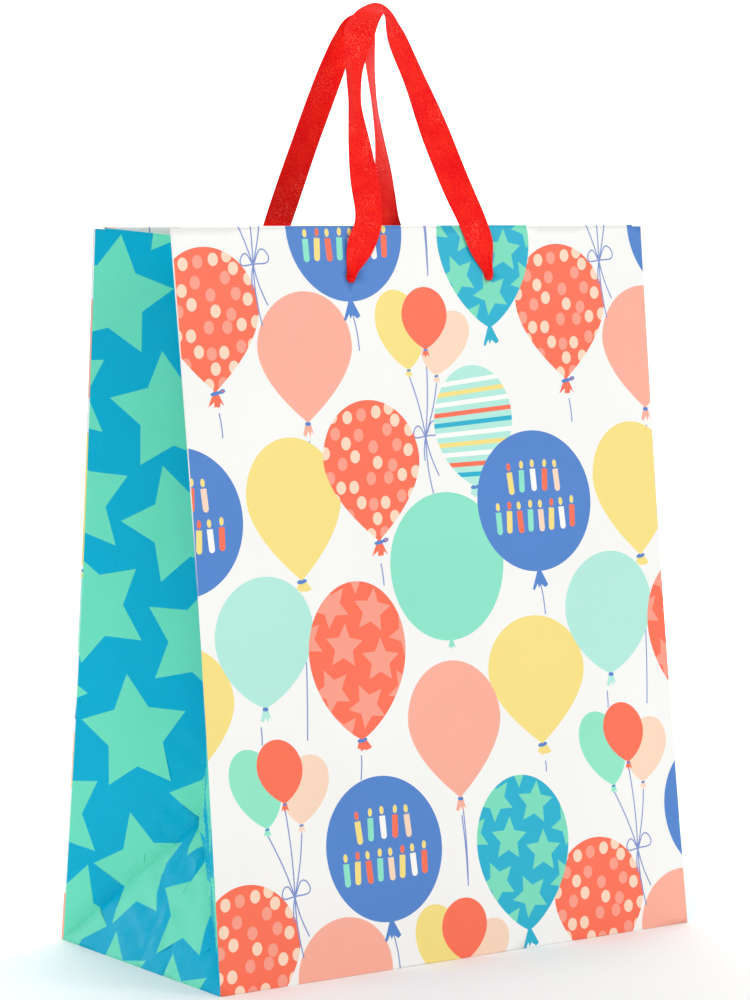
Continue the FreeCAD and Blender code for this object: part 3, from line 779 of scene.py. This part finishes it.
def star_field(flipped):
    """The gussets' drawing: stars scattered on a blue field that reaches the front fold and stops just short
    of the back one, where the panels' drawing turns the corner. Flipped gives it upside down."""
    edge = 2 * HALF_DEPTH - FRONT_BLEED
    field = np.array([(BACK_BLEED, -60.0), (edge, -60.0), (edge, 400.0), (BACK_BLEED, 400.0)])
    art = [("field", field, None)]
    for x, up, turn in GUSSET_STARS:
        level = PANEL - up if flipped else up
        ink, points = star("field_star", x, level, GUSSET_STAR, -turn if flipped else turn)
        art.append((ink, points, field))
    return art


# ---------------------------------------------------------------- cutting and folding the sheet

CUT_TOLERANCE = 1e-4
HOLE = "hole"


def inside(spots, outline):
    """Which spots lie inside an outline: those from which a line to the right crosses it an odd number of
    times."""
    low = outline.min(0)
    high = outline.max(0)
    found = np.zeros(len(spots), dtype=bool)
    near = np.flatnonzero((spots > low).all(1) & (spots < high).all(1))
    x, up = spots[near].T[:, :, None]
    start = outline[None, :, :]
    end = np.roll(outline, -1, axis=0)[None, :, :]
    spans = (start[..., 1] > up) != (end[..., 1] > up)
    rise = np.where(start[..., 1] == end[..., 1], 1.0, end[..., 1] - start[..., 1])
    crossing = start[..., 0] + (end[..., 0] - start[..., 0]) * (up - start[..., 1]) / rise
    found[near] = (spans & (x < crossing)).sum(1) % 2 == 1
    return found


def cut_sheet(outline, art, lines, spacing):
    """Triangulates a flat sheet so that every drawn outline and fold line is made of edges, with a plain grid
    of points between them. A grid alone would not do, because its edges can't follow the drawn outlines.
    Gives the points, the triangles, and each triangle's topmost ink."""
    outline = np.array(outline, dtype=float)
    low = outline.min(0)
    high = outline.max(0)
    columns = np.arange(low[0] + spacing / 2, high[0], spacing)
    rows = np.arange(low[1] + spacing / 2, high[1], spacing)
    stock = [np.stack(np.meshgrid(columns, rows), axis=-1).reshape(-1, 2)]
    count = len(stock[0])
    edges = []
    closed = [outline] + [points for _, points, _ in art]
    for points in closed + [np.array(line, dtype=float) for line in lines]:
        edges += [(count + i, count + i + 1) for i in range(len(points) - 1)]
        stock.append(points)
        count += len(points)
    first = len(stock[0])
    for points in closed:
        edges.append((first + len(points) - 1, first))
        first += len(points)
    flat = [Vector(p) for p in np.concatenate(stock)]
    cut = delaunay_2d_cdt(flat, edges, [], 0, CUT_TOLERANCE, False)
    points = np.array([tuple(p) for p in cut[0]])
    triangles = np.array(cut[2])
    middles = points[triangles].mean(axis=1)
    top = np.zeros(len(triangles), dtype=int)
    for number, (_, drawn, limit) in enumerate(art, start=1):
        covered = inside(middles, drawn)
        if limit is not None:
            covered &= inside(middles, limit)
        top[covered] = number
    inks = np.array([""] + [ink for ink, _, _ in art])[top]
    kept = inside(middles, outline) & (inks != HOLE)
    return points, triangles[kept], inks[kept]


def drop_unused(points, triangles):
    """Leaves out the points that no triangle uses."""
    used, numbers = np.unique(triangles, return_inverse=True)
    return points[used], numbers.reshape(triangles.shape)


def new_mesh(name, points, faces):
    """A mesh object at the origin, from points in millimetres and lists of point numbers."""
    mesh = bpy.data.meshes.new(name)
    mesh.from_pydata((np.asarray(points) * MM).tolist(), [], faces)
    piece = bpy.data.objects.new(name, mesh)
    bpy.context.scene.collection.objects.link(piece)
    return piece


def new_sheet(name, points, faces):
    """A mesh object from arrays, with any face that Blender can't use left out."""
    piece = new_mesh(name, points, faces.tolist())
    piece.data.validate()
    piece.data.update()
    return piece


def smooth(piece, degrees=30):
    """Smooth shading that breaks at folds sharper than so many degrees."""
    piece.data.polygons.foreach_set("use_smooth", np.ones(len(piece.data.polygons), dtype=bool))
    piece.data.set_sharp_from_angle(angle=math.radians(degrees))


def printed_sheet(name, nodes, outline, art, place, flip, slot, ground, lines=(), spacing=7.0):
    """A printed, folded piece of the sheet: cut flat, folded, inked, and given its paper's thickness. Flip is
    1 where across, up and outwards are a right-handed set."""
    low = np.min(outline, axis=0)
    high = np.max(outline, axis=0)
    near = [e for e in art if (e[1].max(0) > low).all() and (e[1].min(0) < high).all()]
    flat, triangles, inks = cut_sheet(outline, near, lines, spacing)
    flat, triangles = drop_unused(flat, triangles)
    if flip < 0:
        triangles = triangles[:, ::-1]
    piece = new_sheet(name, place(flat[:, 0], flat[:, 1]), triangles)
    table = np.array([linear(INKS[ink or ground]) for ink in inks], dtype=np.float32)
    attribute = piece.data.attributes.new("ink", "FLOAT_COLOR", "CORNER")
    attribute.data.foreach_set("color", np.repeat(table, 3, axis=0).ravel())
    film = STAR_PRINT if slot == "star_paper" else PRINT
    for material in (film, INSIDE):
        piece.data.materials.append(material)
    smooth(piece)
    thick = piece.modifiers.new("paper", "SOLIDIFY")
    thick.thickness = PAPER * MM
    thick.offset = -1.0
    thick.material_offset = 1
    thick.material_offset_rim = 1
    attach(piece, "bag")
    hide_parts(*nodes)
    return piece


def rectangle(x, low, high):
    """A stretch of sheet as wide as x to each side, between two levels."""
    return [(-x, low), (x, low), (x, high), (-x, high)]


def fold_lines(low, high, steps=3):
    """Lines beside a side fold, where the sheet turns the corner, with a point every 8 mm."""
    levels = np.linspace(low, high, int((high - low) / 8))
    gaps = FOLD_SOFTNESS * np.arange(1, steps + 1) / steps
    return [(gap, levels) for gap in gaps]


def rim_lines(low, high, reach):
    """Lines across the rim every 30 degrees of its half circle, and where the hem starts down."""
    levels = PANEL + reach / 2 * np.radians(np.arange(30, 181, 30))
    columns = np.linspace(low, high, int((high - low) / 7))
    return [np.stack([columns, 0 * columns + level], axis=1) for level in levels]


def holes(shift_up=0.0):
    """The punched ribbon holes, as gaps in the drawing."""
    return [disc(HOLE, side * HOLE_X, PANEL - HOLE_DROP + shift_up, HOLE_RADIUS, HOLE_RADIUS, 0, 24) + (None,)
            for side in (-1, 1)]


RIM_INSET = 5.5
HEM_INSET = 9.5
GUSSET_REACH = 1.3
BACK_SHIFT = (-52.0, -31.0)
SHEET_LOW = (-140.0, -120.0)
SHEET_HIGH = (140.0, 390.0)
FLAP_GRID = 15.0


HEM_SHOULDER = 4.0


def hem_outline(low, high, rim):
    """A hem's flat outline between two folds: from the rim it narrows, and then it runs straight down."""
    return [(low + RIM_INSET, PANEL), (high - RIM_INSET, PANEL), (high - HEM_INSET, rim + HEM_SHOULDER),
            (high - HEM_INSET, rim + HEM), (low + HEM_INSET, rim + HEM),
            (low + HEM_INSET, rim + HEM_SHOULDER)]


def add_walls(art):
    """The front and back walls, their turned-in hems and the bottom flaps that continue them."""
    panel_lines = []
    for gap, levels in fold_lines(0.0, PANEL):
        for side in (-1, 1):
            panel_lines.append(np.stack([0 * levels + side * (HALF_WIDTH - gap), levels], axis=1))
    rim = PANEL + np.pi * RIM / 2
    hem = hem_outline(-HALF_WIDTH, HALF_WIDTH, rim)
    for wall, word, flip, shift in ((-1, "front", 1, (0.0, 0.0)), (1, "back", -1, BACK_SHIFT)):
        print_here = repeated(art, SHEET_LOW, SHEET_HIGH, shift)
        place = panel_place(wall)
        printed_sheet(word + "_wall_paper", [word + "_panel"], rectangle(HALF_WIDTH, 0.0, PANEL),
                      print_here + holes(), place, flip, "printed_paper", "paper", panel_lines)
        mirrored_holes = holes(2 * HOLE_DROP + np.pi * RIM / 2)
        printed_sheet(word + "_hem_paper", [word + "_hem"], hem, print_here + mirrored_holes,
                      turned_in(place, flip, RIM), flip, "printed_paper", "paper",
                      rim_lines(-HALF_WIDTH, HALF_WIDTH, RIM))
    front_reach = flap_high[1] - flap_low[1]
    printed_sheet("front_bottom_paper", ["front_bottom_flap"], rectangle(flap_high[0], -front_reach, 0.0),
                  repeated(art, SHEET_LOW, SHEET_HIGH),
                  lambda x, up: np.stack([x, flap_low[1] - up, 0 * x + flap_low[2]], axis=1), 1,
                  "printed_paper", "paper", spacing=FLAP_GRID)
    back_reach = back_flap_high[1] - back_flap_low[1]
    printed_sheet("back_bottom_paper", ["back_bottom_flap"], rectangle(back_flap_high[0], -back_reach, 0.0),
                  repeated(art, SHEET_LOW, SHEET_HIGH, BACK_SHIFT),
                  lambda x, up: np.stack([x, back_flap_high[1] + up, 0 * x + back_flap_low[2]], axis=1), -1,
                  "printed_paper", "paper", spacing=FLAP_GRID)


def add_gussets(art):
    """The two folded sides with their star drawing, the panels' drawing turning their corners, and hems."""
    half = HALF_DEPTH
    lines = []
    for gap, levels in fold_lines(0.0, PANEL):
        lines.append(np.stack([0 * levels + gap, levels], axis=1))
        lines.append(np.stack([0 * levels + 2 * half - gap, levels], axis=1))
    step = np.linspace(0, 1, 24)[:, None]
    for start, end in (((half, 0), (half, PANEL)), ((0, 0), (half, half)), ((2 * half, 0), (half, half)),
                       ((0, half), (half, half)), ((2 * half, half), (half, half))):
        lines.append(np.array(start) + (np.array(end) - np.array(start)) * step)
    rim = PANEL + np.pi * GUSSET_REACH / 2
    hem = hem_outline(0.0, 2 * half, rim)
    hem_fold = [np.array([(half, PANEL), (half, rim + HEM)])]
    sheet = [(0.0, 0.0), (2 * half, 0.0), (2 * half, PANEL), (0.0, PANEL)]
    for side, word, flip in ((-1, "left", 1), (1, "right", -1)):
        panels = repeated(art, (-5.0, -5.0), (2 * half + 5, 400.0), (HALF_WIDTH + 2 * half, 0.0))
        print_here = panels + star_field(side > 0)
        place = gusset_place(side)
        printed_sheet(word + "_gusset_paper", [word + "_gusset"], sheet, print_here, place, flip,
                      "star_paper", "paper", lines, spacing=5.0)
        printed_sheet(word + "_hem_paper", [word + "_hem"], hem, print_here,
                      turned_in(place, flip, GUSSET_REACH), flip, "star_paper", "paper",
                      rim_lines(0.0, 2 * half, GUSSET_REACH) + hem_fold)


ART = drawing()
add_walls(ART)
add_gussets(ART)

# ---------------------------------------------------------------- boards and inner flaps, as packed

for node, material in (
    ("base_board", BOARD), ("front_top_card", CARD), ("back_top_card", CARD), ("side_seam_flap", INSIDE),
    ("left_tuck_flap", INSIDE), ("right_tuck_flap", INSIDE),
):
    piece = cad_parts[node]
    piece.data.materials.clear()
    piece.data.materials.append(material)

# ---------------------------------------------------------------- ribbon handles and their knots

RIBBON_WIDTH = 14.0
RIBBON_THICK = 0.7
GATHERED_WIDTH = 4.5
GATHER_LENGTH = 17.0
FACE_POINTS = 27


def carried(line, flat, thick, profile):
    """A closed profile carried along a line. The profile is measured along the flat and the thick directions
    and has one outline for each place on the line."""
    points = line[:, None, :] + profile[..., :1] * flat[:, None, :] + profile[..., 1:] * thick[:, None, :]
    count = profile.shape[1]
    row = np.arange(len(line) - 1)[:, None] * count
    column = np.arange(count)[None, :]
    after = (column + 1) % count
    sides = np.stack([row + column, row + after, row + count + after, row + count + column], axis=-1)
    return points.reshape(-1, 3), sides.reshape(-1, 4).tolist(), count


def ribbon_frame(line, route, wall):
    """The ribbon's flat and thick directions along its line: across the line in the wall's plane, turned
    about the line by the angles in its route, eased from one route point to the next."""
    along = unit(np.gradient(line, axis=0))
    outward = np.array([0.0, wall * math.cos(LEAN), math.sin(LEAN)])
    flat = unit(np.cross(outward, along))
    over = np.cross(along, flat)
    steer = route_points(route, wall) / MM
    nearest = np.linalg.norm(line[None, :, :] - steer[:, None, :], axis=2).argmin(axis=1)
    length = np.concatenate([[0], np.cumsum(np.linalg.norm(np.diff(line, axis=0), axis=1))])
    turns = np.interp(length, length[nearest], np.array(route)[:, 3])
    window = np.hanning(15) / np.hanning(15).sum()
    turns = np.convolve(np.pad(turns, 7, mode="edge"), window, mode="valid")
    angle = np.radians(turns)[:, None]
    return np.cos(angle) * flat + np.sin(angle) * over, np.cos(angle) * over - np.sin(angle) * flat, length


def add_ribbon(name, node, body, route, wall, cup):
    """A velvet ribbon: a thin rounded strip carried along its line. It is gathered in soft pleats at the
    holes, widens over GATHER_LENGTH, and its face is slightly dished."""
    places = smooth_line(name + "_line", route_points(route, wall))
    line = places / MM
    flat, thick, length = ribbon_frame(line, route, wall)
    total = length[-1]
    out = np.clip(np.minimum(length, total - length) / GATHER_LENGTH, 0, 1)
    open_share = np.sin(np.pi / 2 * out) ** 1.3
    width = GATHERED_WIDTH + (RIBBON_WIDTH - GATHERED_WIDTH) * open_share
    across = np.linspace(-1, 1, FACE_POINTS)
    round_off = np.sqrt(np.clip(1 - np.abs(across) ** 14, 0, 1))
    pleats = (1 - open_share)[:, None] * 0.75 * np.cos(3 * np.pi * across)[None, :]
    dish = cup * width[:, None] * (across ** 2 - 0.33)[None, :] * open_share[:, None]
    ripple = 0.22 * np.sin(length / 9.0 + wall)[:, None] * np.sin(2.2 * across)[None, :] * open_share[:, None]
    middle = pleats + dish + ripple
    side = width[:, None] / 2 * across[None, :]
    top = np.stack([side, middle + RIBBON_THICK / 2 * round_off], axis=-1)
    under = np.stack([side, middle - RIBBON_THICK / 2 * round_off], axis=-1)[:, -2:0:-1]
    profile = np.concatenate([top, under], axis=1)
    points, faces, count = carried(line, flat, thick, profile)
    faces += [list(range(count))[::-1], list(range(len(points) - count, len(points)))]
    piece = new_velvet(name, points, faces)
    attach(piece, body)
    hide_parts(node)


def recalculate(piece):
    """Turns every face outwards."""
    mesh = bmesh.new()
    mesh.from_mesh(piece.data)
    bmesh.ops.recalc_face_normals(mesh, faces=mesh.faces)
    mesh.to_mesh(piece.data)
    mesh.free()


def new_velvet(name, points, faces):
    """A velvet mesh object, with its faces outwards."""
    piece = new_mesh(name, points, faces)
    recalculate(piece)
    piece.data.materials.append(VELVET)
    smooth(piece, 60)
    return piece


KNOT_HALF = (5.3, 3.3, 3.9)
KNOT_CORD = 1.9
KNOT_DROP = 6.5
NECK_RADIUS = 2.1
TAIL_HALF_THICK = 0.35


def add_knot(word, wall, side):
    """The knot behind a hole: an overhand knot's line (sin t + 2 sin 2t, cos t - 2 cos 2t, -sin 3t) squeezed
    tight and carried by a flattened round, a gathered neck through the hole, and a slant-cut tail."""
    low, high = box_mm(word + "_knot")
    middle = np.array([(low[0] + high[0]) / 2, (low[1] + high[1]) / 2, high[2] - KNOT_DROP])
    t = np.linspace(0, 2 * np.pi, 97)
    line = np.stack([np.sin(t) + 2 * np.sin(2 * t), np.sin(3 * t), np.cos(t) - 2 * np.cos(2 * t)], axis=1)
    reach = np.array(KNOT_HALF) - [KNOT_CORD, 1.1, KNOT_CORD]
    line = middle + line / np.abs(line).max(axis=0) * reach
    along = unit(np.roll(line, -1, axis=0) - np.roll(line, 1, axis=0))
    along[0] = along[-1] = unit(line[1] - line[-2])
    flat = unit(np.cross(along, [0.0, 1.0, 0.0]))
    thick = np.cross(along, flat)
    turn = np.linspace(0, 2 * np.pi, 16, endpoint=False)
    creased = KNOT_CORD * np.cos(turn) * (1 + 0.12 * np.cos(3 * turn))
    section = np.stack([creased, 1.25 * np.sin(turn)], axis=-1)
    points, faces, _ = carried(line, flat, thick, np.repeat(section[None], len(line), axis=0))
    loops = [points]
    quads = [faces]
    slope = np.linspace(0, 1, 9)[:, None]
    hole = PANEL - HOLE_DROP
    hole_y = wall * (HALF_DEPTH - hole * math.sin(LEAN) + 0.6)
    outside = np.array([side * HOLE_X, hole_y, FOOT + hole * math.cos(LEAN)])
    neck = outside + (middle - outside) * slope
    neck_along = unit(middle - outside)
    neck_flat = np.repeat(unit(np.cross(neck_along, [0.0, 0.0, 1.0]))[None], 9, axis=0)
    neck_thick = np.repeat(np.cross(neck_along, neck_flat[0])[None], 9, axis=0)
    ridge = 1 + 0.14 * np.cos(6 * turn)
    round_neck = np.stack([NECK_RADIUS * ridge * np.cos(turn), NECK_RADIUS * ridge * np.sin(turn)], axis=-1)
    points, faces, count = carried(neck, neck_flat, neck_thick, np.repeat(round_neck[None], 9, axis=0))
    loops.append(points)
    quads.append(faces + [list(range(count))])
    fall = np.linspace(0, 1, 22)
    reach_down = middle[2] - low[2]
    sway_x = side * 1.2 * np.sin(2.0 * fall)
    sway_y = wall * 1.6 * np.sin(2.6 * fall)
    tail = middle + np.stack([sway_x, sway_y, -reach_down * fall], axis=1)
    tail_flat = unit(np.stack([np.cos(0.5 * fall), side * np.sin(0.5 * fall), 0 * fall], axis=1))
    tail_along = unit(np.gradient(tail, axis=0))
    tail_thick = np.cross(tail_along, tail_flat)
    across = np.linspace(-1, 1, 11)
    half_width = (2.0 + 2.5 * np.clip(2.2 * fall, 0, 1) ** 0.7)[:, None]
    cut = 1.6 * across[None, :] * (fall ** 6)[:, None]
    dish = 0.7 * (across ** 2)[None, :]
    front = np.stack([half_width * across, dish + TAIL_HALF_THICK + 0 * half_width], axis=-1)
    behind = np.stack([half_width * across, dish - TAIL_HALF_THICK + 0 * half_width], axis=-1)[:, ::-1]
    points, faces, count = carried(tail, tail_flat, tail_thick, np.concatenate([front, behind], axis=1))
    shear = np.concatenate([cut, cut[:, ::-1]], axis=1).reshape(-1, 1) * np.array([0.0, 0.0, 1.0])
    loops.append(points + np.clip(shear, 0, None))
    quads.append(faces + [list(range(count)), list(range(len(points) - count, len(points)))[::-1]])
    start = 0
    stock = []
    for points, faces in zip(loops, quads):
        stock += [[corner + start for corner in face] for face in faces]
        start += len(points)
    piece = new_velvet(word + "_tied_knot", np.concatenate(loops), stock)
    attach(piece, "bag")
    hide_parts(word + "_knot")


add_ribbon("front_velvet_ribbon", "front_handle_ribbon", "front_handle", FRONT_ROUTE, -1, 0.05)
add_ribbon("back_velvet_ribbon", "back_handle_ribbon", "back_handle", BACK_ROUTE, 1, -0.05)
for wall_word, wall in (("front", -1), ("back", 1)):
    for side_word, side in (("left", -1), ("right", 1)):
        add_knot(wall_word + "_" + side_word, wall, side)

# ---------------------------------------------------------------- floor and light

SWEEP_RADIUS = 600.0
SWEEP_FRONT = -3000.0
SWEEP_BACK = 2400.0
SWEEP_REACH = 3600.0


def add_floor():
    """A pale paper sweep: flat floor, quarter circle and upright back, as one profile carried sideways."""
    turn = np.linspace(0, np.pi / 2, 24)
    y = np.concatenate([[SWEEP_FRONT], SWEEP_BACK + SWEEP_RADIUS * np.sin(turn), [SWEEP_BACK + SWEEP_RADIUS]])
    z = np.concatenate([[0.0], SWEEP_RADIUS * (1 - np.cos(turn)), [SWEEP_REACH]])
    x = np.linspace(-SWEEP_REACH, SWEEP_REACH, 7)
    grid_x, grid_y = np.meshgrid(x, y)
    _, grid_z = np.meshgrid(x, z)
    points = np.stack([grid_x, grid_y, grid_z - 0.05], axis=-1).reshape(-1, 3)
    row = np.arange(len(y) - 1)[:, None] * len(x) + np.arange(len(x) - 1)[None, :]
    first = row.ravel()
    faces = np.stack([first, first + 1, first + 1 + len(x), first + len(x)], axis=1)
    floor = new_sheet("paper_sweep", points, faces)
    material, tree, shader = new_material("white_background_paper")
    place = add_node(tree, "ShaderNodeTexCoord")
    colour = mixed_colour(tree, "FBFBFB", "FFFFFF", cloudy(tree, place, 2.0), "Fac")
    set_surface(tree, shader, colour, MIX_RESULT, None, {"Roughness": 0.9})
    floor.data.materials.append(material)
    smooth(floor)


def add_light(name, place, aim, width, height, power):
    """A rectangular softbox at a place, turned towards a point, both in metres."""
    data = bpy.data.lights.new(name, "AREA")
    data.shape = "RECTANGLE"
    data.size = width
    data.size_y = height
    data.energy = power
    light = bpy.data.objects.new(name, data)
    light.location = place
    light.rotation_euler = (Vector(aim) - Vector(place)).to_track_quat("-Z", "Y").to_euler()
    bpy.context.scene.collection.objects.link(light)


def add_world(strength):
    """Even white light from all round."""
    world = bpy.data.worlds.new("studio")
    world.use_nodes = True
    background = world.node_tree.nodes["Background"]
    background.inputs["Color"].default_value = (1.0, 1.0, 1.0, 1.0)
    background.inputs["Strength"].default_value = strength
    bpy.context.scene.world = world


add_floor()
add_world(0.62)
add_light("key_softbox", (1.5, -2.3, 1.5), (0.0, 0.0, 0.2), 1.0, 1.0, 17.0)
add_light("left_softbox", (-1.95, 0.5, 0.5), (0.0, 0.0, 0.17), 0.5, 0.5, 5.0)
add_light("left_fill", (-1.6, -1.6, 2.0), (0.0, 0.0, 0.2), 1.5, 1.5, 16.0)
add_light("background_light", (0.9, 1.1, 2.4), (1.6, 3.0, 0.6), 2.0, 2.0, 90.0)
bpy.context.scene.view_settings.view_transform = "Standard"
